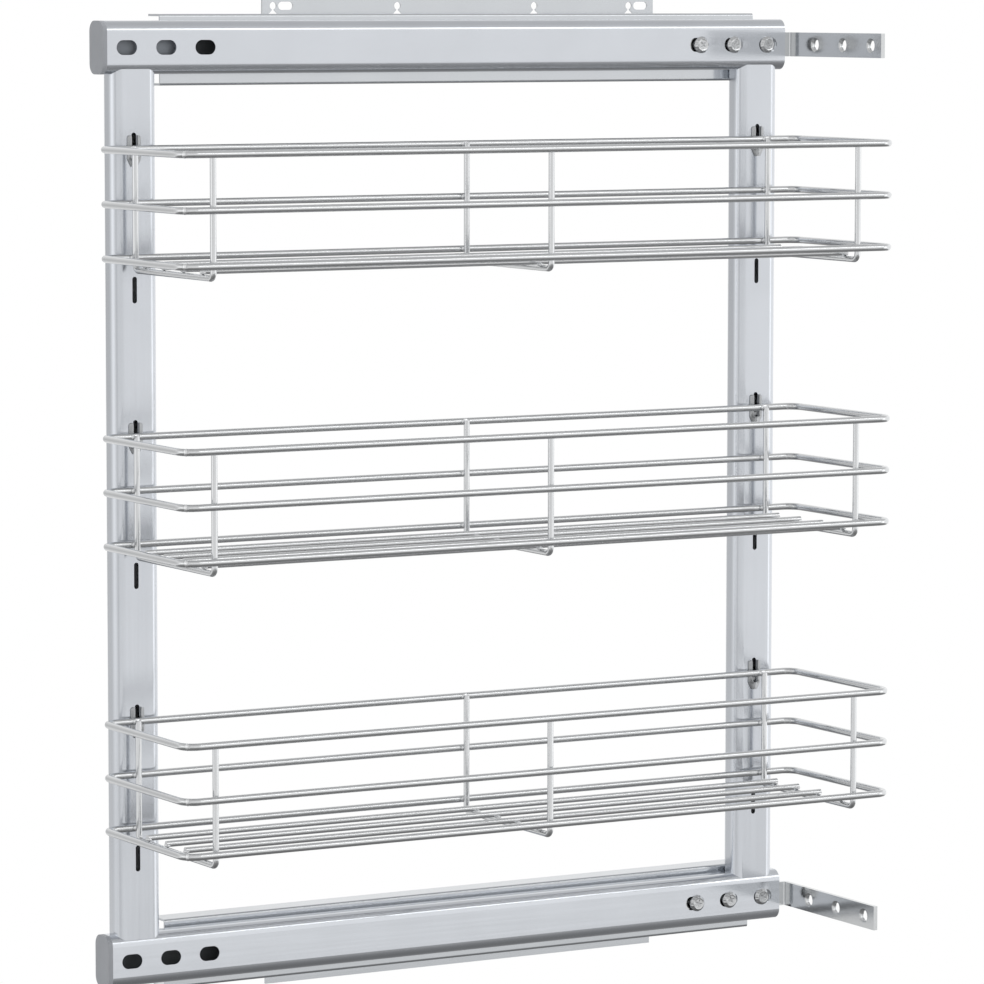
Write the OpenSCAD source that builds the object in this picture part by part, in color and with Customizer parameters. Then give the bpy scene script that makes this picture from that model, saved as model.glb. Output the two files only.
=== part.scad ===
// Pull-out frame with three hook-on wire baskets, carried on two telescopic slides.
// X runs along the travel, towards the door. Y runs towards the cabinet side, which is the plane y = 0.
// Z is up, and z = 0 is the middle of the bottom slide. The frame is drawn pushed in.

/* [Rails] */
// Length of the two horizontal rails, without the end caps
rail_length = 510; // [480:1:620]
// Height of a rail
rail_height = 34; // [32:0.5:40]
// Depth of a rail, front to back
rail_depth = 20; // [19:0.5:24]
// Rounding of a rail's long edges
rail_corner = 7; // [4:0.5:9]
// Wall of a rail's tube
rail_wall = 2; // [1.5:0.1:2.5]
// Distance between the middles of the two rails
rail_spacing = 587; // [575:1:640]
// Middle of the rails from the middle of the cabinet screws, frame pushed in
frame_shift = -17.35; // [-19:0.05:-15]

/* [Bracket slots] */
// Length of a slot, end to end
slot_length = 14.3; // [13:0.1:16]
// Width of a slot
slot_width = 9.4; // [8.5:0.1:10]
// Distance from slot to slot
slot_pitch = 27.8; // [26:0.1:30]
// First slot's middle from the end of the rail
slot_inset = 13.7; // [12:0.1:15]
// Number of slots at each end
slot_count = 3; // [2:1:3]

/* [Posts] */
// Width of a post, along the rails
post_width = 32; // [30:0.5:36]
// Depth of a post, front to back
post_depth = 18; // [16.5:0.5:19]
// Rounding of a post's long edges
post_corner = 7; // [4:0.5:8]
// Wall of a post's tube
post_wall = 1.5; // [1.2:0.1:2]
// Middle of a post from the end of the rails
post_inset = 20; // [19:0.5:24]

/* [Hook slots] */
// Width of a hook slot
hook_slot_width = 3.2; // [3:0.1:3.6]
// Height of a hook slot
hook_slot_height = 17; // [16.5:0.1:18]
// Distance from hook slot to hook slot
hook_slot_pitch = 91.6; // [88:0.1:94]
// Top of the first hook slot below the top rail
hook_slot_drop = 36.8; // [34:0.1:40]
// Middle of the hook slots from the middle of a post
hook_slot_shift = -1.35; // [-2:0.05:2]
// Least space from the last hook slot to the bottom rail
hook_slot_margin = 30; // [20:1:36]

/* [End caps] */
// Thickness of the cap that shows
cap_thickness = 3; // [2:0.5:4]
// Length of the top cap's plug in the rail
top_plug_length = 55; // [42:1:58]
// Length of the bottom cap's plug in the rail
bottom_plug_length = 5; // [4:0.5:6]
// Depth of a cap's plug, front to back
plug_depth = 7; // [5:0.5:8]
// Clearance of a plug in its tube
plug_clearance = 0.3; // [0.2:0.05:0.5]

/* [Slides] */
// Length of a closed slide
slide_length = 450; // [400:1:470]
// Height of a slide
slide_height = 45.7; // [44:0.1:47]
// Depth of a closed slide, front to back
slide_depth = 17; // [16.5:0.1:18]
// Sheet of the channels
slide_sheet = 1.4; // [1.2:0.1:1.6]
// Outer bend of the channels
slide_bend = 1.7; // [1.7:0.1:3]
// Depth of the channel on the cabinet plate, inside the one on the frame
cabinet_channel_depth = 5.7; // [5:0.1:7]
// Rear end of the cabinet side of a slide from the rear end of the channel on the frame
slide_set_back = 10; // [6:0.5:12]
// End rivets of the channel on the frame from its ends
channel_rivet_inset = 60; // [50:1:80]
// Clearance between the pieces of a slide
slide_play = 0.3; // [0.25:0.05:0.35]
// Sheet of the middle member's flanges
middle_flange = 1.8; // [1.4:0.1:2.2]
// Thickness of the middle member's web
middle_web = 2; // [1.6:0.1:2.4]
// Middle of the slides from the middle of the cabinet screws
slide_shift = -0.75; // [-2:0.05:2]
// Middle of a rail above the middle of its slide
slide_drop = 1.8; // [0:0.1:3]
// Length of a rubber bumper
bumper_length = 5; // [4:0.5:7]
// Height of a rubber bumper
bumper_height = 28; // [20:1:30]
// Depth of a rubber bumper, front to back
bumper_depth = 10.6; // [9:0.1:11]

/* [Ball cages] */
// Diameter of a ball
ball_diameter = 3.2; // [3:0.1:3.3]
// Clearance of a ball in its cage
ball_clearance = 0.2; // [0.15:0.05:0.25]
// Number of balls in a row
balls_in_row = 10; // [6:1:12]
// Distance from ball to ball
ball_pitch = 18; // [12:1:18]
// Sheet of a cage
cage_sheet = 0.8; // [0.6:0.1:1]
// Depth of a cage, front to back
cage_depth = 5.3; // [5:0.1:5.6]
// Height of the windows in a cage's web
cage_window_height = 28; // [20:1:30]
// Ribs that are left beside and between a cage's windows
cage_rib = 10; // [6:1:14]

/* [Cabinet plates] */
// Thickness of a plate
plate_thickness = 1.5; // [1.2:0.1:2]
// Rear end of a plate past the middle of its rear outer screw
plate_rear_margin = 8.1; // [7:0.1:16]
// Front end of a plate past the middle of its front slot
plate_front_margin = 10.05; // [9.5:0.05:18]
// Height of the top plate above its slide
top_plate_rise = 11; // [10:0.5:16]
// Depth of the bottom plate below its slide
bottom_plate_drop = 7.55; // [6:0.05:12]
// Reach of a plate behind its slide, from the slide's middle
plate_reach = 20; // [17:1:21]
// Diameter of the screw holes
screw_hole = 5; // [4.5:0.1:5.4]
// Distance between the outer screws
outer_screws = 270.7; // [268:0.1:272]
// Distance between the inner screws
inner_screws = 104.4; // [100:0.1:110]
// Middle of the inner screws and of the slots from the middle of the outer screws
inner_shift = 9.15; // [8.8:0.05:10]
// Top screws above the slide
top_screw_rise = 5.15; // [5:0.05:6]
// Length of a plate slot
plate_slot_length = 11; // [10:0.1:11.5]
// Width of a plate slot
plate_slot_width = 5.3; // [4.8:0.1:5.4]
// Width of the neck below a top screw hole
neck_width = 2; // [1.6:0.1:2.4]
// Width of the wide end below the neck
keyhole_width = 9.5; // [9:0.1:11]
// Length of that neck
neck_length = 0.4; // [0.2:0.1:0.8]
// Height of the wide end
keyhole_height = 6; // [5:0.5:8]
// Diameter of the flush rivets
rivet_diameter = 5; // [4:0.1:6]
// Diameter of the rivet heads in the rails
rivet_head = 7; // [6.5:0.1:8]
// Height of the rivet heads in the rails
rivet_head_height = 1.5; // [1:0.1:2]
// Number of rivets in a plate
plate_rivet_count = 4; // [3:1:5]
// Distance between the outer rivets of a plate
plate_rivets_apart = 236; // [230:1:240]
// Row of the plate's rivets from the slide's middle
rivet_row = 11; // [9:0.5:13]
// Access holes for the inner and outer front screws
access_hole = 12; // [10:0.5:14]

/* [Door brackets] */
// Height of a bracket's strip
bracket_height = 16.3; // [15:0.1:18]
// Thickness of a bracket's strip
bracket_thickness = 3; // [2.5:0.1:3.5]
// Length of the leg that carries the door
door_leg = 113.3; // [108:0.1:120]
// Leg in the rail past its last bolt
rail_leg_end = 8; // [6:0.5:12]
// Inner bend of a bracket
bracket_bend = 1; // [0.5:0.1:2]
// Face of the door leg past the end of the rail
bracket_overhang = 8.6; // [6:0.1:10]
// Diameter of the door screws' holes
door_hole = 8; // [7:0.1:8.4]
// Depth of the countersink of a door screw's hole
door_hole_chamfer = 0.8; // [0.4:0.1:1]
// Distance from door screw to door screw
door_hole_pitch = 33.65; // [32:0.05:34]
// Number of door screws in a bracket
door_hole_count = 3; // [2:1:3]
// Last door screw from the end of the leg
door_hole_inset = 12.6; // [11:0.1:14]
// Head of a bracket bolt
bolt_head = 11.3; // [10.6:0.1:12]
// Height of a bracket bolt's head
bolt_head_height = 2.7; // [2:0.1:3.5]
// Bolt past the leg in the rail
bolt_reach = 2; // [1:0.5:4]
// Thread of a bracket bolt
bolt_thread = 6; // [5:0.1:6]
// Distance from bolt to bolt
bolt_pitch = 26.3; // [26:0.1:27]
// First bolt from the end of the rail
bolt_inset = 14.7; // [14:0.1:15]
// Clearance of fixed pins and screws in their holes
fixing_clearance = 0.05; // [0.02:0.01:0.1]

/* [Baskets] */
// Wire of the rings
ring_wire = 4.6; // [4.2:0.1:5.2]
// Wire of the cross wires and the floor
thin_wire = 4; // [3:0.1:4.4]
// Wire of a ring past the end of the rails, to the middle of the wire
ring_overhang = 7.2; // [5:0.05:11]
// Depth of a ring, middle to middle of its wire
ring_depth = 118.8; // [100:0.1:140]
// Corner of a ring, to the middle of its wire
ring_corner = 9; // [7:0.5:14]
// Distance from ring to ring
ring_step = 34.5; // [32:0.1:38]
// Number of rings in a basket
ring_count = 3; // [2:1:3]
// Top ring above the bottom of its hook slot
ring_above_slot = 6.75; // [6.5:0.05:8]
// Floor of the cross wires below the bottom ring
floor_drop = 7.8; // [6.5:0.1:9]
// Bend of the cross wires, to the middle of the wire
cross_bend = 4; // [4:0.5:7]
// Ends of the cross wires above the middle of the top ring
cross_rise = 1; // [0.5:0.1:2]
// Rear cross wire from the rear wire of the rings
rear_cross_inset = 22.55; // [18:0.05:30]
// Middle cross wire from the middle of the basket
middle_cross_place = 1.7; // [-20:0.1:20]
// Front cross wire from the front wire of the rings
front_cross_inset = 25.45; // [18:0.05:30]
// Number of floor wires
floor_wires = 4; // [3:1:5]
// Outer floor wires from the upright stretches of the cross wires
floor_wire_inset = 14.4; // [11:0.1:17]
// Floor wires past the outer cross wires
floor_overhang = 1; // [0.5:0.1:5]
// Gap at a weld
weld_gap = 0.05; // [0.03:0.01:0.1]

/* [Hook clips] */
// Width of a clip
clip_width = 10.4; // [9:0.1:12]
// Sheet of a clip
clip_sheet = 1.65; // [1.4:0.05:2]
// Clip's top above the top ring
clip_rise = 8.6; // [8:0.1:9]
// Clip's bottom below the top ring
clip_drop = 11.5; // [10:0.1:12]
// Width of the clip's bottom tip
clip_tip = 5; // [4:0.1:7]
// Height of the clip's tapered part
clip_taper = 4.5; // [3:0.1:6]
// Slope of the clip's top corners
clip_shoulder = 1.6; // [0.5:0.1:2.5]
// Slit above the tongue
clip_slit = 3; // [2.6:0.1:3.4]
// Width of the tongue
tongue_width = 2.4; // [2.2:0.1:2.6]
// Height of the tongue in its slot
tongue_height = 7; // [6.5:0.1:7.2]
// Thickness of the hook behind the wall
hook_thickness = 1.8; // [1.5:0.1:2.2]
// Depth of the hook below the tongue
hook_drop = 8.2; // [7:0.1:8.2]
// Clearance between a clip and its post
hook_play = 0.3; // [0.25:0.05:0.35]
// Clearance of the tongue over the round bottom of its slot
seat_clearance = 0.1; // [0.05:0.05:0.3]

/* [Hidden] */
$fn = 48;

// Overlap of a cutting tool past the face that it cuts
cut = 1;

// Planes across the depth, from the cabinet side towards the front
plate_front = -plate_thickness;
slide_back = plate_front;
slide_front = slide_back - slide_depth;
frame_back = slide_front;
frame_middle = frame_back - rail_depth / 2;
frame_front = frame_back - rail_depth;
post_front = frame_middle - post_depth / 2;

// Places along the travel
rail_start = frame_shift - rail_length / 2;
rail_end = rail_start + rail_length;
slide_start = slide_shift - slide_length / 2;
slide_end = slide_start + slide_length;
post_places = [rail_start + post_inset, rail_end - post_inset];
slot_places = [
    for (i = [0:slot_count - 1]) rail_start + slot_inset + i * slot_pitch,
    for (i = [0:slot_count - 1]) rail_end - slot_inset - i * slot_pitch
];

// Heights of the slides and the rails
slide_levels = [0, rail_spacing];
rail_levels = [slide_drop, slide_drop + rail_spacing];
rails_clear = rail_spacing - rail_height;
post_foot = rail_levels[0] + rail_height / 2;
post_head = rail_levels[1] - rail_height / 2;

// Hook slots, counted from the top
hook_slots_room = rails_clear - hook_slot_drop - hook_slot_height - hook_slot_margin;
hook_slot_count = floor(hook_slots_room / hook_slot_pitch) + 1;
slots_per_basket = 2;
function hook_slot_bottom(i) = post_head - hook_slot_drop - hook_slot_height - i * hook_slot_pitch;

// Section of a slide, measured from its middle and from the outer face of its own channel
channel_inside = slide_height / 2 - slide_sheet;
frame_channel_depth = slide_depth - slide_play;
cabinet_channel_height = 2 * (channel_inside - slide_play);
frame_ball_height = channel_inside - slide_play - ball_diameter / 2;
cabinet_ball_height = frame_ball_height - slide_sheet - slide_play;
middle_below_balls = ball_diameter / 2 + slide_play;
cage_back = slide_sheet + slide_play;
cage_front = cage_back + cage_sheet;
ball_depth = cage_front + ball_clearance + ball_diameter / 2;
middle_edge = cage_front + slide_play;
cabinet_start = slide_start + slide_set_back;
middle_start = cabinet_start + bumper_length + slide_play;
middle_end = slide_end - bumper_length - slide_play;
cage_length = balls_in_row * ball_pitch;
cage_start = slide_shift - cage_length / 2;
cage_window = (cage_length - 3 * cage_rib) / 2;
full_travel = slide_length;

// Screws and rivets in the cabinet plates
outer_screw_places = [-outer_screws / 2, outer_screws / 2];
inner_screw_places = [inner_shift - inner_screws / 2, inner_shift + inner_screws / 2];
plate_slot_places = [inner_shift - outer_screws / 2, inner_shift + outer_screws / 2];
screw_places = concat(outer_screw_places, inner_screw_places);
plate_slots_height = slide_height / 2 + top_screw_rise;
plate_start = outer_screw_places[0] - plate_rear_margin;
plate_end = plate_slot_places[1] + plate_front_margin;
plate_middle = (plate_start + plate_end) / 2;
plate_rivet_step = plate_rivets_apart / (plate_rivet_count - 1);
plate_rivet_places = [
    for (i = [0:plate_rivet_count - 1]) plate_middle - plate_rivets_apart / 2 + i * plate_rivet_step
];
// The rivets keep to the hidden side of the slide's middle
plate_rivet_heights = [slide_levels[0] + rivet_row, slide_levels[1] - rivet_row];
channel_rivet_places = [slide_start + channel_rivet_inset, slide_shift, slide_end - channel_rivet_inset];

// Keyhole below a top screw
neck_drop = screw_hole / 2 + neck_length;
flare_drop = neck_drop + (keyhole_width - neck_width) / 2;
keyhole_drop = flare_drop + keyhole_height;

// Door brackets and their bolts
bracket_face = rail_end + bracket_overhang;
bracket_front = frame_front + rail_wall;
bracket_back = bracket_front + bracket_thickness;
bolt_places = [for (i = [0:slot_count - 1]) rail_end - bolt_inset - i * bolt_pitch];
bolt_tip = bracket_back + bolt_reach;
rail_leg = bracket_face - bolt_places[slot_count - 1] + rail_leg_end;
door_leg_tip = bracket_back - door_leg;
door_hole_places = [for (i = [0:door_hole_count - 1]) door_leg_tip + door_hole_inset + i * door_hole_pitch];

// Baskets, from the post towards the front
clip_back = post_front - hook_play;
clip_front = clip_back - clip_sheet;
ring_back = clip_front - weld_gap - ring_wire / 2;
ring_front = ring_back - ring_depth;
wires_apart = (ring_wire + thin_wire) / 2 + weld_gap;
cross_back = ring_back - wires_apart;
cross_front = ring_front + wires_apart;
ring_length = rail_length + 2 * ring_overhang;
cross_places = [
    rear_cross_inset - ring_length / 2,
    middle_cross_place,
    ring_length / 2 - front_cross_inset
];
floor_pitch = (cross_back - cross_front - 2 * floor_wire_inset) / (floor_wires - 1);
basket_middle = (ring_back + ring_front) / 2;
// The tongue rests near the round bottom of its slot
slot_round = hook_slot_width / 2 - sqrt(pow(hook_slot_width, 2) - pow(tongue_width, 2)) / 2;
tongue_seat = slot_round + seat_clearance;

bare_steel = [0.80, 0.81, 0.82];
zinc_steel = [0.74, 0.76, 0.78];
chrome_wire = [0.86, 0.87, 0.88];
grey_plastic = [0.55, 0.56, 0.57];
black_rubber = [0.12, 0.12, 0.12];

// Turns a section drawn as [depth, height] into a bar along the travel
module along_travel(start, length) {
    translate([start, 0, 0])
        rotate([90, 0, 90])
            linear_extrude(length)
                children();
}

// Rectangle with round corners, from its middle
module rounded_rectangle(width, height, corner) {
    square([width - 2 * corner, height], center = true);
    square([width, height - 2 * corner], center = true);
    for (i = [-1, 1], j = [-1, 1])
        translate([i * (width / 2 - corner), j * (height / 2 - corner)])
            circle(corner);
}

// Slot with round ends, from its middle
module long_hole(length, width) {
    square([length - width, width], center = true);
    for (i = [-1, 1])
        translate([i * (length - width) / 2, 0])
            circle(width / 2);
}

// Cuts a shape drawn as [travel, height] through the depth from back to front
module cut_through(back, front) {
    translate([0, back + cut, 0])
        rotate([90, 0, 0])
            linear_extrude(back - front + 2 * cut)
                children();
}

// Round pin along the depth, from its back end
module pin(place, height, back, length, diameter) {
    translate([place, back, height])
        rotate([90, 0, 0])
            cylinder(h = length, d = diameter);
}

// Holes for the rivets of a plate, through a sheet that starts at a given depth
module plate_rivet_holes(height, back, sheet) {
    for (x = plate_rivet_places)
        pin(x, height, back + cut, sheet + 2 * cut, rivet_diameter + 2 * fixing_clearance);
}

module cabinet_plate(low, high, rivet_height) {
    color(zinc_steel)
        difference() {
            translate([plate_start, plate_front, low])
                cube([plate_end - plate_start, plate_thickness, high - low]);
            plate_rivet_holes(rivet_height, 0, plate_thickness);
            children();
        }
}

module bottom_cabinet_plate() {
    low = slide_levels[0] - slide_height / 2 - bottom_plate_drop;
    cabinet_plate(low, slide_levels[0] + plate_reach, plate_rivet_heights[0])
        for (x = screw_places)
            pin(x, slide_levels[0], cut, plate_thickness + 2 * cut, screw_hole);
}

module keyhole() {
    circle(screw_hole / 2);
    polygon([
        [-neck_width / 2, 0],
        [-neck_width / 2, -neck_drop],
        [-keyhole_width / 2, -flare_drop],
        [-keyhole_width / 2, -keyhole_drop],
        [keyhole_width / 2, -keyhole_drop],
        [keyhole_width / 2, -flare_drop],
        [neck_width / 2, -neck_drop],
        [neck_width / 2, 0]
    ]);
}

module top_cabinet_plate() {
    level = slide_levels[1];
    high = level + slide_height / 2 + top_plate_rise;
    cabinet_plate(level - plate_reach, high, plate_rivet_heights[1])
        cut_through(0, plate_front)
            translate([0, level + plate_slots_height]) {
                for (x = screw_places)
                    translate([x, 0])
                        keyhole();
                for (x = plate_slot_places)
                    translate([x, 0])
                        long_hole(plate_slot_length, plate_slot_width);
            }
}

// C section with its web at depth 0
module channel_section(depth, height) {
    difference() {
        translate([depth, 0])
            rounded_rectangle(2 * depth, height, slide_bend);
        translate([depth + slide_sheet, 0])
            rounded_rectangle(2 * depth, height - 2 * slide_sheet, slide_bend - slide_sheet);
        translate([depth, -height])
            square([depth + cut, 2 * height]);
    }
}

// Channel on the cabinet plate, with or without holes for the cabinet screws
module cabinet_channel(level, rivet_height, with_screws) {
    color(zinc_steel)
        difference() {
            translate([0, slide_back, level])
                along_travel(cabinet_start, slide_end - cabinet_start)
                    mirror([1, 0])
                        channel_section(cabinet_channel_depth, cabinet_channel_height);
            plate_rivet_holes(rivet_height, slide_back, slide_sheet);
            if (with_screws)
                for (x = screw_places)
                    pin(x, level, slide_back + cut, slide_sheet + 2 * cut, screw_hole);
        }
}

module bottom_cabinet_channel() {
    cabinet_channel(slide_levels[0], plate_rivet_heights[0], true);
}

module top_cabinet_channel() {
    cabinet_channel(slide_levels[1], plate_rivet_heights[1], false);
}

// Flush rivets through a plate and its channel
module plate_rivets() {
    color(zinc_steel)
        for (height = plate_rivet_heights, x = plate_rivet_places)
            pin(x, height, 0, plate_thickness + slide_sheet, rivet_diameter);
}

// Rubber blocks that stop the middle members as the frame is pushed in
module closing_bumpers() {
    color(black_rubber)
        for (level = slide_levels)
            translate([cabinet_start, slide_back - slide_sheet - bumper_depth, level - bumper_height / 2])
                cube([bumper_length, bumper_depth, bumper_height]);
}

module opening_bumpers() {
    color(black_rubber)
        for (level = slide_levels)
            translate([slide_end - bumper_length, slide_front + slide_sheet, level - bumper_height / 2])
                cube([bumper_length, bumper_depth, bumper_height]);
}

// One side of the section between the two channels, with a flange above and below its web
module middle_side(ball_height) {
    high = ball_height - middle_below_balls;
    reach = slide_depth / 2 - middle_edge;
    translate([0, -high])
        square([middle_web / 2, 2 * high]);
    for (low = [-high, high - middle_flange])
        translate([0, low])
            square([reach, middle_flange]);
}

// Section that runs between the two channels
module middle_section() {
    middle_side(cabinet_ball_height);
    mirror([1, 0])
        middle_side(frame_ball_height);
}

module middle_member(level, with_access) {
    slide_middle = (slide_front + slide_back) / 2;
    color(bare_steel)
        difference() {
            translate([0, slide_middle, level])
                along_travel(middle_start, middle_end - middle_start)
                    middle_section();
            if (with_access)
                for (x = [outer_screw_places[1], inner_screw_places[1]])
                    pin(x - full_travel / 2, level, slide_middle + middle_web,
                        2 * middle_web, access_hole);
        }
}

module bottom_middle_member() {
    middle_member(slide_levels[0], true);
}

module top_middle_member() {
    middle_member(slide_levels[1], false);
}

// Where the balls of one row stand along the travel
function ball_place(i) = cage_start + (i + 0.5) * ball_pitch;

// Cage for two rows of balls, drawn against a web at depth 0
module ball_cage(ball_height) {
    flange_height = ball_height + cage_sheet / 2;
    color(zinc_steel)
        difference() {
            translate([cage_start, cage_back, -flange_height])
                cube([cage_length, cage_depth, 2 * flange_height]);
            translate([cage_start - cut, cage_front, -flange_height + cage_sheet])
                cube([cage_length + 2 * cut, cage_depth + cut, 2 * (flange_height - cage_sheet)]);
            for (i = [0, 1])
                translate([cage_start + cage_rib + i * (cage_window + cage_rib), 0, -cage_window_height / 2])
                    cube([cage_window, cage_depth, cage_window_height]);
            for (i = [0:balls_in_row - 1])
                translate([ball_place(i), ball_depth, -flange_height - cut])
                    cylinder(h = 2 * (flange_height + cut), d = ball_diameter + 2 * ball_clearance);
        }
}

module ball_rows(ball_height) {
    color(bare_steel)
        for (i = [0:balls_in_row - 1], side = [-1, 1])
            translate([ball_place(i), ball_depth, side * ball_height])
                sphere(d = ball_diameter);
}

module on_cabinet_side(level) {
    translate([0, slide_back, level])
        mirror([0, 1, 0])
            children();
}

module on_frame_side(level) {
    translate([0, slide_front, level])
        children();
}

module bottom_cabinet_side_cage() {
    on_cabinet_side(slide_levels[0]) ball_cage(cabinet_ball_height);
}

module top_cabinet_side_cage() {
    on_cabinet_side(slide_levels[1]) ball_cage(cabinet_ball_height);
}

module bottom_cabinet_side_balls() {
    on_cabinet_side(slide_levels[0]) ball_rows(cabinet_ball_height);
}

module top_cabinet_side_balls() {
    on_cabinet_side(slide_levels[1]) ball_rows(cabinet_ball_height);
}

module bottom_frame_side_cage() {
    on_frame_side(slide_levels[0]) ball_cage(frame_ball_height);
}

module top_frame_side_cage() {
    on_frame_side(slide_levels[1]) ball_cage(frame_ball_height);
}

module bottom_frame_side_balls() {
    on_frame_side(slide_levels[0]) ball_rows(frame_ball_height);
}

module top_frame_side_balls() {
    on_frame_side(slide_levels[1]) ball_rows(frame_ball_height);
}

module frame_channel(level) {
    color(zinc_steel)
        difference() {
            translate([0, slide_front, level])
                along_travel(slide_start, slide_length)
                    channel_section(frame_channel_depth, slide_height);
            for (x = channel_rivet_places)
                pin(x, level, slide_front + slide_sheet + cut, slide_sheet + 2 * cut,
                    rivet_diameter + 2 * fixing_clearance);
        }
}

module bottom_frame_channel() {
    frame_channel(slide_levels[0]);
}

module top_frame_channel() {
    frame_channel(slide_levels[1]);
}

// Rivets with a flush end in the channel and a head in the rail
module channel_rivets() {
    color(zinc_steel)
        for (level = slide_levels, x = channel_rivet_places) {
            pin(x, level, slide_front + slide_sheet, slide_sheet + rail_wall, rivet_diameter);
            pin(x, level, frame_back - rail_wall, rivet_head_height, rivet_head);
        }
}

module rail_outline() {
    rounded_rectangle(rail_depth, rail_height, rail_corner);
}

module rail(height, slide_level) {
    color(bare_steel)
        difference() {
            translate([0, frame_middle, height])
                along_travel(rail_start, rail_length)
                    difference() {
                        rail_outline();
                        rounded_rectangle(rail_depth - 2 * rail_wall, rail_height - 2 * rail_wall,
                            rail_corner - rail_wall);
                    }
            cut_through(frame_front + rail_wall, frame_front)
                for (x = slot_places)
                    translate([x, height])
                        long_hole(slot_length, slot_width);
            for (x = channel_rivet_places)
                pin(x, slide_level, frame_back + cut, rail_wall + 2 * cut,
                    rivet_diameter + 2 * fixing_clearance);
        }
}

module bottom_rail() {
    rail(rail_levels[0], slide_levels[0]);
}

module top_rail() {
    rail(rail_levels[1], slide_levels[1]);
}

// Post with its ends coped to the roundings of the rails
module post(place) {
    color(bare_steel)
        difference() {
            translate([place, frame_middle, post_foot - rail_corner])
                linear_extrude(post_head - post_foot + 2 * rail_corner)
                    difference() {
                        rounded_rectangle(post_width, post_depth, post_corner);
                        rounded_rectangle(post_width - 2 * post_wall, post_depth - 2 * post_wall,
                            post_corner - post_wall);
                    }
            for (height = rail_levels)
                translate([0, frame_middle, height])
                    along_travel(place - post_width, 2 * post_width)
                        rail_outline();
            cut_through(post_front + post_wall, post_front)
                for (i = [0:hook_slot_count - 1])
                    translate([place + hook_slot_shift, hook_slot_bottom(i) + hook_slot_height / 2])
                        rotate(90)
                            long_hole(hook_slot_height, hook_slot_width);
        }
}

module rear_post() {
    post(post_places[0]);
}

module front_post() {
    post(post_places[1]);
}

// Cap on the rear end of a rail, with a plug near the rail's back wall
module end_cap(height, plug_length) {
    plug_height = rail_height - 2 * rail_corner;
    plug_back = frame_back - rail_wall - plug_clearance - rivet_head_height;
    color(grey_plastic) {
        translate([0, frame_middle, height])
            along_travel(rail_start - cap_thickness, cap_thickness)
                rail_outline();
        translate([rail_start, plug_back - plug_depth, height - plug_height / 2])
            cube([plug_length, plug_depth, plug_height]);
    }
}

module bottom_end_cap() {
    end_cap(rail_levels[0], bottom_plug_length);
}

module top_end_cap() {
    end_cap(rail_levels[1], top_plug_length);
}

// Angle strip, drawn as [travel, depth]: one leg in the rail, one leg for the door
module bracket_outline() {
    outer_bend = bracket_bend + bracket_thickness;
    inner_x = bracket_face - bracket_thickness;
    translate([bracket_face - rail_leg, bracket_front])
        square([rail_leg - outer_bend, bracket_thickness]);
    translate([inner_x, door_leg_tip])
        square([bracket_thickness, door_leg - outer_bend]);
    translate([bracket_face - outer_bend, bracket_back - outer_bend])
        intersection() {
            difference() {
                circle(outer_bend);
                circle(bracket_bend);
            }
            square(outer_bend);
        }
}

module door_bracket(height) {
    color(bare_steel)
        difference() {
            translate([0, 0, height - bracket_height / 2])
                linear_extrude(bracket_height)
                    bracket_outline();
            for (y = door_hole_places)
                translate([bracket_face, y, height])
                    rotate([0, -90, 0]) {
                        translate([0, 0, -cut])
                            cylinder(h = bracket_thickness + 2 * cut, d = door_hole);
                        translate([0, 0, bracket_thickness - door_hole_chamfer])
                            cylinder(h = 2 * door_hole_chamfer, d1 = door_hole,
                                d2 = door_hole + 4 * door_hole_chamfer);
                    }
            for (x = bolt_places)
                pin(x, height, bracket_back + cut, bracket_thickness + 2 * cut,
                    bolt_thread + 2 * fixing_clearance);
        }
}

module bottom_door_bracket() {
    door_bracket(rail_levels[0]);
}

module top_door_bracket() {
    door_bracket(rail_levels[1]);
}

module bracket_bolts() {
    color(zinc_steel)
        for (height = rail_levels, x = bolt_places) {
            pin(x, height, frame_front, bolt_head_height, bolt_head);
            pin(x, height, bolt_tip, bolt_tip - frame_front, bolt_thread);
        }
}

// Quarter turn of wire from +X to +Y, about the middle of the bend
module wire_bend(bend, wire) {
    rotate_extrude(angle = 90)
        translate([bend, 0])
            circle(d = wire);
}

module ring() {
    straight_x = ring_length - 2 * ring_corner;
    straight_y = ring_depth - 2 * ring_corner;
    for (side = [-1, 1]) {
        translate([-straight_x / 2, side * ring_depth / 2, 0])
            rotate([0, 90, 0])
                cylinder(h = straight_x, d = ring_wire);
        translate([side * ring_length / 2, straight_y / 2, 0])
            rotate([90, 0, 0])
                cylinder(h = straight_y, d = ring_wire);
    }
    for (quarter = [0:3])
        mirror([quarter % 2, 0, 0])
            mirror([0, floor(quarter / 2), 0])
                translate([straight_x / 2, straight_y / 2, 0])
                    wire_bend(ring_corner, ring_wire);
}

// Height of a basket's top ring
function basket_top(basket) = hook_slot_bottom(basket * slots_per_basket) + ring_above_slot;
function basket_floor(basket) = basket_top(basket) - (ring_count - 1) * ring_step - floor_drop;

module basket_rings(basket) {
    color(chrome_wire)
        for (i = [0:ring_count - 1])
            translate([frame_shift, basket_middle, basket_top(basket) - i * ring_step])
                ring();
}

// One wire: down inside the rings, across the floor and up again
module cross_wire(top, bottom) {
    across = cross_back - cross_front;
    height = top - bottom;
    for (side = [-1, 1]) {
        translate([0, side * across / 2, cross_bend])
            cylinder(h = height - cross_bend, d = thin_wire);
        translate([0, side * (across / 2 - cross_bend), cross_bend])
            rotate([0, 90, 0])
                rotate(side > 0 ? 0 : -90)
                    wire_bend(cross_bend, thin_wire);
    }
    translate([0, across / 2 - cross_bend, 0])
        rotate([90, 0, 0])
            cylinder(h = across - 2 * cross_bend, d = thin_wire);
}

module basket_cross_wires(basket) {
    color(chrome_wire)
        for (x = cross_places)
            translate([frame_shift + x, basket_middle, basket_floor(basket)])
                cross_wire(basket_top(basket) + cross_rise, basket_floor(basket));
}

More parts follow.
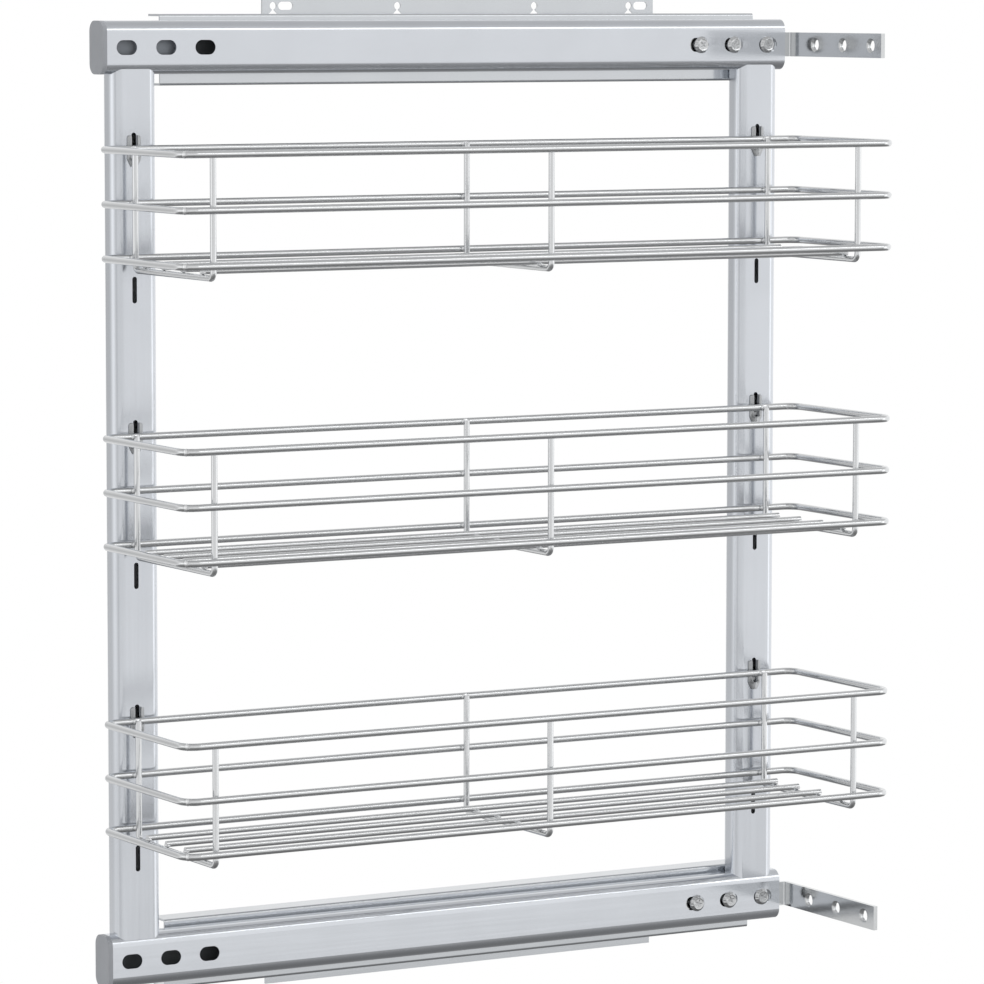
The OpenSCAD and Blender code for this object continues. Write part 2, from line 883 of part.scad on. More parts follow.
module basket_floor_wires(basket) {
    start = frame_shift + cross_places[0] - floor_overhang;
    length = cross_places[2] - cross_places[0] + 2 * floor_overhang;
    color(chrome_wire)
        for (i = [0:floor_wires - 1])
            translate([
                start,
                basket_middle + (i - (floor_wires - 1) / 2) * floor_pitch,
                basket_floor(basket) + thin_wire + weld_gap
            ])
                rotate([0, 90, 0])
                    cylinder(h = length, d = thin_wire);
}

// Clip drawn from the middle of its slot: shield, tongue and hook
module hook_clip(slot_bottom) {
    ring_height = slot_bottom + ring_above_slot;
    low = ring_height - clip_drop;
    high = ring_height + clip_rise;
    tongue_low = slot_bottom + tongue_seat;
    hook_back = post_front + post_wall + hook_play;
    cut_through(clip_back - cut, clip_front + cut)
        difference() {
            polygon([
                [-clip_tip / 2, low],
                [clip_tip / 2, low],
                [clip_width / 2, low + clip_taper],
                [clip_width / 2, high - clip_shoulder],
                [clip_width / 2 - clip_shoulder, high],
                [clip_shoulder - clip_width / 2, high],
                [-clip_width / 2, high - clip_shoulder],
                [-clip_width / 2, low + clip_taper]
            ]);
            translate([-clip_slit / 2, tongue_low + tongue_height])
                square([clip_slit, high]);
        }
    translate([-tongue_width / 2, clip_back, tongue_low])
        cube([tongue_width, hook_back + hook_thickness - clip_back, tongue_height]);
    translate([-tongue_width / 2, hook_back, tongue_low - hook_drop])
        cube([tongue_width, hook_thickness, hook_drop + tongue_height]);
}

module basket_hook_clips(basket) {
    color(zinc_steel)
        for (x = post_places)
            translate([x + hook_slot_shift, 0, 0])
                hook_clip(hook_slot_bottom(basket * slots_per_basket));
}

bottom_cabinet_plate();
top_cabinet_plate();
bottom_cabinet_channel();
top_cabinet_channel();
plate_rivets();
closing_bumpers();
bottom_middle_member();
top_middle_member();
bottom_cabinet_side_cage();
top_cabinet_side_cage();
bottom_cabinet_side_balls();
top_cabinet_side_balls();
bottom_frame_side_cage();
top_frame_side_cage();
bottom_frame_side_balls();
top_frame_side_balls();
bottom_frame_channel();
top_frame_channel();
channel_rivets();
opening_bumpers();
bottom_rail();
top_rail();
rear_post();
front_post();
bottom_end_cap();
top_end_cap();
bottom_door_bracket();
top_door_bracket();
bracket_bolts();
basket_rings(2);  // bottom_basket_rings
basket_cross_wires(2);  // bottom_basket_cross_wires
basket_floor_wires(2);  // bottom_basket_floor_wires
basket_hook_clips(2);  // bottom_basket_hook_clips
basket_rings(1);  // middle_basket_rings
basket_cross_wires(1);  // middle_basket_cross_wires
basket_floor_wires(1);  // middle_basket_floor_wires
basket_hook_clips(1);  // middle_basket_hook_clips
basket_rings(0);  // top_basket_rings
basket_cross_wires(0);  // top_basket_cross_wires
basket_floor_wires(0);  // top_basket_floor_wires
basket_hook_clips(0);  // top_basket_hook_clips
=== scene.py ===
"""The looks of the pull-out wire basket, round its solids: finishes, small detail, studio and camera."""

import math

import bmesh
import bpy
from mathutils import Matrix, Vector, noise


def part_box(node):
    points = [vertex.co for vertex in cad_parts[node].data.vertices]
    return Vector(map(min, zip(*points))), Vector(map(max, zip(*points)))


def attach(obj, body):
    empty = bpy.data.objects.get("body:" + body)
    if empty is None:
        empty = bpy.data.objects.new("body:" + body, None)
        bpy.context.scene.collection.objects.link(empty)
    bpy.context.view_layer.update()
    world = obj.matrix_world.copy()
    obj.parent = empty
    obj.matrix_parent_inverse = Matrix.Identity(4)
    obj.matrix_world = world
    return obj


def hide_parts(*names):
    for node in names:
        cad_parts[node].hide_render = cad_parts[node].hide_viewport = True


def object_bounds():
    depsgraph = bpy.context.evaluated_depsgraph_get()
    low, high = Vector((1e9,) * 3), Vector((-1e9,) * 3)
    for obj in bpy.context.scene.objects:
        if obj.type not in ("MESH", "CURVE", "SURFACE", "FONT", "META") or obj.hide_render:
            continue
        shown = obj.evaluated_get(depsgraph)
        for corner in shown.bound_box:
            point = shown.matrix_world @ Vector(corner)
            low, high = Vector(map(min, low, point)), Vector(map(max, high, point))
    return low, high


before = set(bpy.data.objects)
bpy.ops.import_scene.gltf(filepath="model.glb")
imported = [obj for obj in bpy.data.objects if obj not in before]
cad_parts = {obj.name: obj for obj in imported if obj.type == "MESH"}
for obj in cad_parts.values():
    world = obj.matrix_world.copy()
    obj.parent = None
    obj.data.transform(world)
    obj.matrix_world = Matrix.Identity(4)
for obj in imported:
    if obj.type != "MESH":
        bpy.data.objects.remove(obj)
cad_low, cad_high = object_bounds()

MM = 0.001
X, Y, Z = range(3)
BASKETS = ("top_basket", "middle_basket", "bottom_basket")

# Places on the solids, in millimetres


def span(node, axis):
    """From where to where a CAD node reaches along an axis."""
    low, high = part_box(node)
    return low[axis] / MM, high[axis] / MM


def midway(node, axis):
    """The middle of a CAD node along an axis."""
    return sum(span(node, axis)) / 2


def evenly(first, last, count):
    """Evenly spaced values from first to last."""
    return [first + (last - first) * k / (count - 1) for k in range(count)]


# Rails and posts

RAIL_LEVELS = [midway(rail, Z) for rail in ("bottom_rail", "top_rail")]
RAIL_START, RAIL_END = span("bottom_rail", X)
RAIL_FRONT, RAIL_BACK = span("bottom_rail", Y)
RAIL_UNDERSIDE, RAIL_TOP = span("bottom_rail", Z)
RAIL_WALL = 2.0
POST_PLACES = [midway(post, X) for post in ("rear_post", "front_post")]
POST_START, POST_END = span("rear_post", X)
POST_FRONT, POST_BACK = span("rear_post", Y)
POST_WALL = 1.5

# Linings inside the rails and the posts

LINING = 0.4
LINING_GAP = 0.12
RAIL_LINING_OPEN = 1.1  # from the front wall to the lining's open side
RAIL_LINING_CORNER = 4.9
RAIL_LINING_INSETS = (0.15, 0.25)
POST_LINING_OPEN = 1.0
POST_LINING_CORNER = 5.4
POST_LINING_INSET = 1.2

# Bracket bolts

BOLTS_PER_RAIL = 3
BOLTS_START, BOLTS_END = span("bracket_bolts", X)
BOLTS_FRONT, BOLTS_TIP = span("bracket_bolts", Y)
HEAD_RADIUS = 5.65
HEAD_HEIGHT = RAIL_FRONT - BOLTS_FRONT
HEAD_STEPS = 132
TEETH = 14
TOOTH_HEIGHT = 0.4
RIM_DROP = 1.85
DISH_RADIUS = 3.9
DISH_DEPTH = 0.22
DISH_EDGE = 0.8
RECESS_REACH = 2.6
RECESS_END = 1.2
RECESS_HALF_WIDTH = 0.6
RECESS_WALL = 0.45
RECESS_DEPTH = 0.55
HEAD_RADII = [HEAD_RADIUS] + evenly(5.5, 4.5, 5) + evenly(4.3, DISH_RADIUS, 3) + [3.6]
HEAD_RADII += evenly(3.35, 2.1, 6) + evenly(1.8, 0.3, 6)
SHANK_RADIUS = 3.0
SHANK_TIP_RADIUS = 1.9
SHANK_PLAIN = 1.2
SHANK_RUN_IN = 0.6
SHANK_THREAD_DEPTH = 0.45
SHANK_STEPS = 56
FIRST_TURN, TURN_PER_BOLT, TURN_PER_RAIL = 0.35, 0.9, 0.5

# Threads in the door brackets

DOOR_FACE = span("top_door_bracket", X)[1]
DOOR_END = span("top_door_bracket", Y)[0]
DOOR_HOLES = 3
DOOR_HOLE_MARGIN = 12.6
DOOR_HOLE_STEP = 33.65
DOOR_HOLE_RADIUS = 4.0
DOOR_THREAD_PITCH = 0.75
DOOR_THREAD_DEPTH = 0.42
DOOR_THREAD_FOOT = 0.33  # half of the ridge's width at the hole's wall
DOOR_THREAD_CREST = 0.06
DOOR_THREAD_START = 0.15
DOOR_THREAD_TURNS = 2.5
DOOR_TURN_STEPS = 40
DOOR_RUN_IN_STEPS = 8

# Ribs on the top cap's plug

PLUG_START = RAIL_START + 0.45
PLUG_END = span("top_end_cap", X)[1] - 0.25
PLUG_HALF_HEIGHTS = (8.4, 7.4)  # at its start and its end
PLUG_FACE_PLACE = RAIL_FRONT + 5.1
PLUG_FACE = 1.6
PLUG_CORNER = 1.2
PLUG_EDGE = 0.4
RIB_PLACE = RAIL_FRONT + 6.5
RIB = 2.6
RIB_STEP = 6.4
RIB_HALF_HEIGHT = 0.6
RIB_INSET = 1.0
RIB_CORNER = 0.4
RIB_EDGE = 0.2

# Basket wires and welds

RINGS = 3
RING_WIRE = 4.6
RING_STEP = 34.5
RING_BEND_INSET = 4.75
CROSS_WIRE = 4.0
CROSS_WIRE_SHIFT = 1.7  # of the middle cross wire from the rings' middle
FLOOR_WIRES = 4
FLOOR_WIRE = 4.0
FLOOR_WIRE_STEP = 27.1
FLOOR_END_INSET = 1.0
FLOOR_END_DROP = 0.9
CROSS_NUGGET = (2.7, 0.8, 2.0)
FLOOR_NUGGET = (2.3, 2.3, 0.9)
FLOOR_END = (2.1, 2.25, 1.2)
# The rings' butt welds hardly stand out of the wire: with the light weld finish they paint a highlight on the
# rings' bends.
BUTT_WELD_GLINT = (2.2, 2.2, 2.42)
NUGGET_ROUGHNESS, FLOOR_END_ROUGHNESS, BUTT_WELD_GLINT_ROUGHNESS = 0.1, 0.14, 0.05
LUMP_SCALE, LUMP_SHIFT = 1.7, 0.37
FINE_LUMP_SCALE, FINE_LUMP_SHARE = 4.1, 0.4

# Basket clips, with heights from the top ring

PLAIN_CLIP_WIDTH = 10.4
CLIP_GAP = 0.1
SLIT_HALF_WIDTH = 2.0
EAR_HALF_WIDTH = 4.8
EAR_CORNER = 1.8
EAR_SHOULDER = 6.8
EAR_NECK = -6.6
EAR_TIP = -11.5
EAR_TAPER = 2.6
EAR_OVERLAP = 0.2
EAR_FALL = 1.35
EAR_LIP = 0.45
EAR_LIP_SHARE = 0.22
EAR_STEPS = 9
EAR_HEIGHTS = (EAR_TIP, -9.8, -8.2, EAR_NECK, -5.9, -3.0, 1.0, 4.0, EAR_SHOULDER, 7.3, 7.8, 8.2, 8.45, 8.58)
HOOK_WIDTH = 2.4
HOOK_GAP = 0.3
HOOK_TOP = 0.9
HOOK_NOSE = 1.6
HOOK_NOSE_FOOT = -1.3
HOOK_CHIN = -3.2
HOOK_SEAT = -6.1
HOOK_TIP = -14.3
HOOK_CORNER = 0.5
HOOK_EDGE = 0.3

# Soft edges

SMOOTH_ANGLE = math.radians(38)
BEVEL_ANGLE = math.radians(40)
CAP_EDGE = 1.1
BRACKET_EDGE = 0.3

# Studio, in metres

CENTRE = (cad_low + cad_high) / 2
AMBIENT = 0.85
FLOOR_DROP = 0.18
FLOOR_RADIUS = 14.0
FLOOR_TONE = 0.8
SHADOW_RADIUS = 0.3
WHITE_RADIUS = 0.7

# Camera

CAMERA_PLACE = Vector((-1.64761, -2.938, 0.62296))
CAMERA_YAW = math.radians(29.726)
CAMERA_PITCH = math.radians(5.641)
CAMERA_ROLL = math.radians(0.06)
CAMERA_LENS = 184.55
CAMERA_SENSOR = 36.0

# Grain and colours

EVEN = (1, 1, 1)
ALONG_X = (60, 1, 1)
ALONG_Y = (1, 60, 1)
ALONG_Z = (1, 1, 60)
WIRE_GRAIN = (12, 12, 12)
CLIP_GRAIN = (1, 1, 20)
BALL_GRAIN = (3, 3, 3)
MOULDED_GRAIN = (0.4, 0.4, 0.4)
METAL_PATCHES = (40, 40, 40)
MOULDED_PATCHES = (15, 15, 15)
NOISE_LOW, NOISE_HIGH = 0.3, 0.7
METAL_TINT, METAL_SHINE = 0.02, 0.15
MOULDED_TINT, MOULDED_SHINE = 0.04, 0.1
METAL_RELIEF = 0.001 * MM
CHROME_RELIEF = 0.0006 * MM
WELD_RELIEF = 0.004 * MM
MOULDED_RELIEF = 0.02 * MM
FRAME_COLOUR = (0.638, 0.661, 0.70)
SLIDE_COLOUR = (0.60, 0.62, 0.645)

# Materials


def emptied(owner, output_type):
    """The cleared node tree of a material or a world, and the new output in it."""
    owner.use_nodes = True
    tree = owner.node_tree
    tree.nodes.clear()
    return tree, tree.nodes.new(output_type)


def shader(name):
    """A new material, its node tree and its shader."""
    material = bpy.data.materials.new(name)
    tree, output = emptied(material, "ShaderNodeOutputMaterial")
    principled = tree.nodes.new("ShaderNodeBsdfPrincipled")
    tree.links.new(principled.outputs["BSDF"], output.inputs["Surface"])
    return material, tree, principled


def stretched_noise(tree, stretch, scale, detail=3.0):
    """Noise in the object's own millimetres, stretched along the axes by the given factors."""
    place = tree.nodes.new("ShaderNodeTexCoord")
    mapping = tree.nodes.new("ShaderNodeMapping")
    mapping.inputs["Scale"].default_value = [1 / (MM * factor) for factor in stretch]
    speckle = tree.nodes.new("ShaderNodeTexNoise")
    speckle.inputs["Scale"].default_value = scale
    speckle.inputs["Detail"].default_value = detail
    tree.links.new(place.outputs["Object"], mapping.inputs["Vector"])
    tree.links.new(mapping.outputs["Vector"], speckle.inputs["Vector"])
    return speckle.outputs["Fac"]


def mapped(tree, factor, start, end, low, high):
    """A value that runs from low to high as the factor runs from start to end."""
    node = tree.nodes.new("ShaderNodeMapRange")
    node.inputs["From Min"].default_value = start
    node.inputs["From Max"].default_value = end
    node.inputs["To Min"].default_value = low
    node.inputs["To Max"].default_value = high
    tree.links.new(factor, node.inputs["Value"])
    return node.outputs["Result"]


def varied(tree, factor, mean, spread):
    """A value that varies by the given share round its mean."""
    return mapped(tree, factor, NOISE_LOW, NOISE_HIGH, mean * (1 - spread), mean * (1 + spread))


def tinted(tree, factor, colour, spread):
    """A colour that varies by the given share round its mean."""
    ramp = tree.nodes.new("ShaderNodeValToRGB")
    dark, light = ramp.color_ramp.elements
    dark.position, light.position = NOISE_LOW, NOISE_HIGH
    dark.color = [part * (1 - spread) for part in colour] + [1]
    light.color = [min(1, part * (1 + spread)) for part in colour] + [1]
    tree.links.new(factor, ramp.inputs["Fac"])
    return ramp.outputs["Color"]


def bumped(tree, principled, height, distance, strength=1.0):
    """Fine relief from a height between 0 and 1, as deep as the distance in metres."""
    bump = tree.nodes.new("ShaderNodeBump")
    bump.inputs["Strength"].default_value = strength
    bump.inputs["Distance"].default_value = distance
    tree.links.new(height, bump.inputs["Height"])
    tree.links.new(bump.outputs["Normal"], principled.inputs["Normal"])


def metal(name, colour, roughness, grain=ALONG_X, relief=METAL_RELIEF):
    """Rolled or drawn steel: a faint grain along its length, with its roughness and relief."""
    material, tree, principled = shader(name)
    fine = stretched_noise(tree, grain, 0.5)
    broad = stretched_noise(tree, METAL_PATCHES, 1.0, 2.0)
    principled.inputs["Metallic"].default_value = 1.0
    tree.links.new(tinted(tree, broad, colour, METAL_TINT), principled.inputs["Base Color"])
    tree.links.new(varied(tree, fine, roughness, METAL_SHINE), principled.inputs["Roughness"])
    bumped(tree, principled, fine, relief)
    return material


def moulded(name, colour, roughness):
    """Moulded plastic and rubber, and the plain greys of the linings that paint shade and light inside the
    tubes, with a fine even grain.
    """
    material, tree, principled = shader(name)
    fine = stretched_noise(tree, MOULDED_GRAIN, 1.0)
    broad = stretched_noise(tree, MOULDED_PATCHES, 1.0, 2.0)
    tree.links.new(tinted(tree, broad, colour, MOULDED_TINT), principled.inputs["Base Color"])
    tree.links.new(varied(tree, fine, roughness, MOULDED_SHINE), principled.inputs["Roughness"])
    bumped(tree, principled, fine, MOULDED_RELIEF, 0.5)
    return material


# Finishes: first one for each slot of the record, then those of single pieces

FINISHES = {
    "frame_steel": metal("bright_frame_steel", FRAME_COLOUR, 0.15),
    "slide_steel": metal("zinc_slide_steel", SLIDE_COLOUR, 0.16),
    "plate_steel": metal("zinc_plate_steel", SLIDE_COLOUR, 0.18),
    "bracket_steel": metal("plated_bracket_steel", (0.67, 0.682, 0.69), 0.14, ALONG_Y),
    "bolt_steel": metal("plated_bolt_steel", (0.60, 0.61, 0.62), 0.2, EVEN),
    "chrome_wire": metal("chromed_wire", (0.68, 0.69, 0.70), 0.16, WIRE_GRAIN, CHROME_RELIEF),
    "clip_steel": metal("plated_clip_steel", (0.45, 0.46, 0.47), 0.28, CLIP_GRAIN),
    "ball_steel": metal("polished_ball_steel", (0.7, 0.7, 0.7), 0.06, BALL_GRAIN),
    "grey_plastic": moulded("grey_cap_plastic", (0.305, 0.318, 0.342), 0.42),
    "black_rubber": moulded("black_bumper_rubber", (0.015, 0.015, 0.016), 0.6),
}
POST = metal("bright_post_steel", FRAME_COLOUR, 0.2, ALONG_Z)
# The bottom rail gets a lighter copy of the frame steel, which paints extra light onto it.
LOW_RAIL_PAINTED_LIGHT = metal("low_rail_steel_painted_light", (0.68, 0.705, 0.745), 0.16)
THIN_WIRE = metal("chromed_thin_wire", (0.71, 0.72, 0.73), 0.16, WIRE_GRAIN, CHROME_RELIEF)
# Welds get a far lighter copy of the wire's chrome, which paints glints onto the nuggets and pressed ends.
WELD_WITH_PAINTED_GLINTS = metal("chromed_weld_painted_glints", (0.88, 0.89, 0.90), 0.3, EVEN, WELD_RELIEF)
# The rails' lining is a dark grey sheet that paints the shade inside the tubes.
RAIL_INSIDE_PAINTED_SHADE = moulded("rail_inside_painted_shade", (0.16, 0.175, 0.19), 0.55)
# The posts' lining is a much lighter copy of the rails' one, which paints light into the hook slots.
POST_INSIDE_PAINTED_LIGHT = moulded("post_inside_painted_light", (0.72, 0.74, 0.77), 0.55)
# The plug is a darker copy of the cap's grey plastic, which paints the shade inside the rail.
PLUG_PAINTED_SHADE = moulded("grey_plug_plastic_painted_shade", (0.235, 0.255, 0.285), 0.5)
NODE_FINISHES = {"front_post": POST, "rear_post": POST, "bottom_rail": LOW_RAIL_PAINTED_LIGHT}
for wires in ("cross_wires", "floor_wires"):
    NODE_FINISHES.update({f"{basket}_{wires}": THIN_WIRE for basket in BASKETS})


def dress_nodes():
    """Gives each CAD node its own finish, or else that of its slot."""
    for name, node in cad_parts.items():
        for index, plain in enumerate(node.data.materials):
            slot_finish = FINISHES[plain.name.split(".")[0]]
            node.data.materials[index] = NODE_FINISHES.get(name, slot_finish)


# Drawing, in millimetres


def wave(value):
    """A triangular wave from 0 to 1, with a period of 1."""
    return abs(2 * (value - math.floor(value)) - 1)


def smooth(value):
    """0 below 0, 1 above 1, and a soft step between."""
    value = min(1.0, max(0.0, value))
    return value * value * (3 - 2 * value)


def finished(name, bm, body, slot, finish=None):
    """A mesh drawn in millimetres becomes a shaded piece that rides on a body."""
    bmesh.ops.recalc_face_normals(bm, faces=bm.faces)
    bmesh.ops.scale(bm, vec=(MM, MM, MM), verts=bm.verts)
    mesh = bpy.data.meshes.new(name)
    bm.to_mesh(mesh)
    bm.free()
    mesh.shade_smooth()
    mesh.set_sharp_from_angle(angle=SMOOTH_ANGLE)
    piece = bpy.data.objects.new(name, mesh)
    bpy.context.scene.collection.objects.link(piece)
    mesh.materials.append(finish or FINISHES[slot])
    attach(piece, body)
    return piece


def add_loft(bm, rows):
    """A closed skin over rows of points, with a face across each end."""
    made = [[bm.verts.new(point) for point in row] for row in rows]
    count = len(made[0])
    for near, far in zip(made, made[1:]):
        for i in range(count):
            j = (i + 1) % count
            bm.faces.new((near[i], near[j], far[j], far[i]))
    bm.faces.new(made[-1])
    bm.faces.new(list(reversed(made[0])))


def rounded_corners(points, radius, steps=4):
    """A closed outline with its corners rounded."""
    outline = []
    for i, corner in enumerate(points):
        corner = Vector(corner)
        before = Vector(points[i - 1]) - corner
        after = Vector(points[(i + 1) % len(points)]) - corner
        reach = min(radius, before.length * 0.45, after.length * 0.45)
        start = corner + before.normalized() * reach
        end = corner + after.normalized() * reach
        for k in range(steps + 1):
            share = k / steps
            outline.append(start * (1 - share) ** 2 + corner * 2 * share * (1 - share) + end * share ** 2)
    return outline


def open_path(points, radius, steps=8):
    """A path round corners, with its two ends left as they are."""
    bends = rounded_corners(points, radius, steps)[steps + 1:-steps - 1]
    return [Vector(points[0])] + bends + [Vector(points[-1])]


def add_plate(bm, outline, place, thickness, edge, segments):
    """A plate with the edges of both its faces rounded. place turns (x, y, depth) into a point."""
    near = [bm.verts.new(place(x, y, 0.0)) for x, y in outline]
    far = [bm.verts.new(place(x, y, thickness)) for x, y in outline]
    faces = [bm.faces.new(near), bm.faces.new(list(reversed(far)))]
    count = len(outline)
    for i in range(count):
        j = (i + 1) % count
        bm.faces.new((near[i], far[i], far[j], near[j]))
    rims = [rim for face in faces for rim in face.edges]
    bmesh.ops.bevel(bm, geom=rims, offset=edge, segments=segments, profile=0.5, affect="EDGES")


def add_nugget(bm, place, radii, roughness=NUGGET_ROUGHNESS):
    """A weld nugget: an uneven flattened lump."""
    made = bmesh.ops.create_icosphere(bm, subdivisions=3, radius=1.0)
    middle = Vector(place)
    for vert in made["verts"]:
        way = vert.co.normalized()
        broad = noise.noise(way * LUMP_SCALE + middle * LUMP_SHIFT)
        fine = noise.noise(way * FINE_LUMP_SCALE + middle)
        lump = 1 + roughness * (broad + FINE_LUMP_SHARE * fine)
        vert.co = middle + Vector([radius * part * lump for radius, part in zip(radii, way)])


# Linings


def lining_section(half_width, open_side, back, corner):
    """Section of a thin channel inside a tube, open towards the tube's front wall."""
    paths = []
    for shift in (0.0, LINING):
        side, depth = half_width - shift, back - shift
        points = [(-side, open_side), (-side, depth), (side, depth), (side, open_side)]
        paths.append(open_path(points, corner - shift))
    outer, inner = paths
    return outer + list(reversed(inner))


def make_rail_linings():
    """The insides of the rails, behind their slots, in a dark grey that paints the shade inside the tubes."""
    section = lining_section(
        half_width=(RAIL_TOP - RAIL_UNDERSIDE) / 2 - RAIL_WALL - LINING_GAP,
        open_side=RAIL_FRONT + RAIL_WALL + RAIL_LINING_OPEN,
        back=RAIL_BACK - RAIL_WALL - LINING_GAP,
        corner=RAIL_LINING_CORNER,
    )
    start, end = RAIL_START + RAIL_LINING_INSETS[0], RAIL_END - RAIL_LINING_INSETS[1]
    bm = bmesh.new()
    for level in RAIL_LEVELS:
        add_loft(bm, [[(x, y, level + z) for z, y in section] for x in (start, end)])
    finished("rail_insides", bm, "frame", "frame_steel", RAIL_INSIDE_PAINTED_SHADE)


def make_post_linings():
    """The insides of the posts, behind their slots, in a light grey that paints light into the hook slots."""
    section = lining_section(
        half_width=(POST_END - POST_START) / 2 - POST_WALL - LINING_GAP,
        open_side=POST_FRONT + POST_WALL + POST_LINING_OPEN,
        back=POST_BACK - POST_WALL - LINING_GAP,
        corner=POST_LINING_CORNER,
    )
    foot, top = RAIL_TOP + POST_LINING_INSET, span("top_rail", Z)[0] - POST_LINING_INSET
    bm = bmesh.new()
    for middle in POST_PLACES:
        add_loft(bm, [[(middle + x, y, z) for x, y in section] for z in (foot, top)])
    finished("post_insides", bm, "frame", "frame_steel", POST_INSIDE_PAINTED_LIGHT)


# Bracket bolts


def head_height(radius, turn):
    """Height of a bolt's head: a toothed rim, a shallow dish and a cross recess."""
    if radius > DISH_RADIUS:
        share = (radius - DISH_RADIUS) / (HEAD_RADIUS - DISH_RADIUS)
        tooth = TOOTH_HEIGHT * wave(turn * TEETH / math.tau)
        return HEAD_HEIGHT - RIM_DROP * share ** 1.5 - tooth * smooth(share * 2) * smooth((1 - share) * 4)
    dish = DISH_DEPTH * smooth((DISH_RADIUS - radius) / DISH_EDGE)
    across = min(abs(radius * math.cos(turn)), abs(radius * math.sin(turn)))
    arm = smooth((RECESS_HALF_WIDTH - across) / RECESS_WALL)
    return HEAD_HEIGHT - dish - RECESS_DEPTH * arm * smooth((RECESS_REACH - radius) / RECESS_END)


def shank_radius(depth):
    """Radius of a bolt's shank at a depth from the rail's face: first plain, then a thread of 1 mm pitch."""
    return SHANK_RADIUS - SHANK_THREAD_DEPTH * wave(depth) * smooth((depth - SHANK_PLAIN) / SHANK_RUN_IN)


def add_bolt(bm, place, level, turn):
    """A bolt with its toothed head in front of the rail and its thread in the bracket's leg."""
    angles = [math.tau * i / HEAD_STEPS for i in range(HEAD_STEPS)]

    def row(radius, depths, step=1):
        return [(place + radius * math.cos(angle), RAIL_FRONT + depth, level + radius * math.sin(angle))
                for angle, depth in zip(angles[::step], depths)]

    head = [row(HEAD_RADIUS, [0.0] * HEAD_STEPS)]
    head += [row(radius, [-head_height(radius, angle + turn) for angle in angles]) for radius in HEAD_RADII]
    add_loft(bm, head)
    depths = evenly(0.0, BOLTS_TIP - RAIL_FRONT, SHANK_STEPS + 1)
    shank = [row(shank_radius(depth), [depth] * HEAD_STEPS, 4) for depth in depths[:-1]]
    shank.append(row(SHANK_TIP_RADIUS, [depths[-1]] * HEAD_STEPS, 4))
    add_loft(bm, shank)


def make_bolts():
    """The bracket bolts on both rails in place of the plain ones, each turned to its own angle."""
    bm = bmesh.new()
    for rail, level in enumerate(RAIL_LEVELS):
        for k, place in enumerate(evenly(BOLTS_START + HEAD_RADIUS, BOLTS_END - HEAD_RADIUS, BOLTS_PER_RAIL)):
            add_bolt(bm, place, level, FIRST_TURN + TURN_PER_BOLT * k + TURN_PER_RAIL * rail)
    piece = finished("bracket_bolts_with_toothed_heads", bm, "frame", "bolt_steel")
    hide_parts("bracket_bolts")


# Threads in the door brackets


def door_thread(place, level):
    """The rows of one ridge that winds round a door screw's hole and runs out at both its ends."""
    last = int(DOOR_THREAD_TURNS * DOOR_TURN_STEPS)
    wall = DOOR_HOLE_RADIUS
    rows = []
    for i in range(last + 1):
        angle = math.tau * i / DOOR_TURN_STEPS
        along = DOOR_FACE - DOOR_THREAD_START - DOOR_THREAD_PITCH * i / DOOR_TURN_STEPS
        ends = smooth(i / DOOR_RUN_IN_STEPS) * smooth((last - i) / DOOR_RUN_IN_STEPS)
        crest = wall - DOOR_THREAD_DEPTH * ends
        section = ((wall, -DOOR_THREAD_FOOT), (crest, -DOOR_THREAD_CREST),
                   (crest, DOOR_THREAD_CREST), (wall, DOOR_THREAD_FOOT))
        rows.append([(along + shift, place + radius * math.cos(angle), level + radius * math.sin(angle))
                     for radius, shift in section])
    return rows


def make_threads():
    """The threads in the door screws' holes of both brackets."""
    bm = bmesh.new()
    for level in RAIL_LEVELS:
        for k in range(DOOR_HOLES):
            add_loft(bm, door_thread(DOOR_END + DOOR_HOLE_MARGIN + DOOR_HOLE_STEP * k, level))
    finished("door_hole_threads", bm, "frame", "bracket_steel")


# Cap ribs


def make_cap_ribs():
    """The ribbed face of the top cap's plug, close behind the rear slots, in a darker copy of the cap's grey
    that paints the shade inside the rail.
    """
    bm = bmesh.new()
    level = RAIL_LEVELS[1]
    at_start, at_end = PLUG_HALF_HEIGHTS
    face = [(PLUG_START, -at_start), (PLUG_END, -at_end), (PLUG_END, at_end), (PLUG_START, at_start)]
    add_plate(bm, rounded_corners(face, PLUG_CORNER),
              lambda x, z, depth: (x, PLUG_FACE_PLACE + depth, level + z), PLUG_FACE, PLUG_EDGE, 3)
    start, end = PLUG_START + RIB_INSET, PLUG_END - RIB_INSET
    for height in (-RIB_STEP, 0.0, RIB_STEP):
        low, high = height - RIB_HALF_HEIGHT, height + RIB_HALF_HEIGHT
        rib = [(start, low), (end, low), (end, high), (start, high)]
        add_plate(bm, rounded_corners(rib, RIB_CORNER, 2),
                  lambda x, z, depth: (x, RIB_PLACE + depth, level + z), RIB, RIB_EDGE, 2)
    finished("top_cap_plug_ribs", bm, "frame", "grey_plastic", PLUG_PAINTED_SHADE)


# Basket welds


def ring_levels(basket):
    """The heights of a basket's rings, from the top down."""
    lowest = span(f"{basket}_rings", Z)[0] + RING_WIRE / 2
    return [lowest + RING_STEP * k for k in reversed(range(RINGS))]


def cross_wire_places(basket):
    """Where a basket's cross wires stand, from the rear to the door."""
    rear, front = span(f"{basket}_cross_wires", X)
    middle = midway(f"{basket}_rings", X) + CROSS_WIRE_SHIFT
    return rear + CROSS_WIRE / 2, middle, front - CROSS_WIRE / 2


def cross_wire_seats(basket):
    """Where a basket's cross wires meet its rings, on the posts' side and on the open side."""
    ring_low, ring_high = span(f"{basket}_rings", Y)
    wire_low, wire_high = span(f"{basket}_cross_wires", Y)
    return (ring_high - RING_WIRE + wire_high) / 2, (ring_low + RING_WIRE + wire_low) / 2


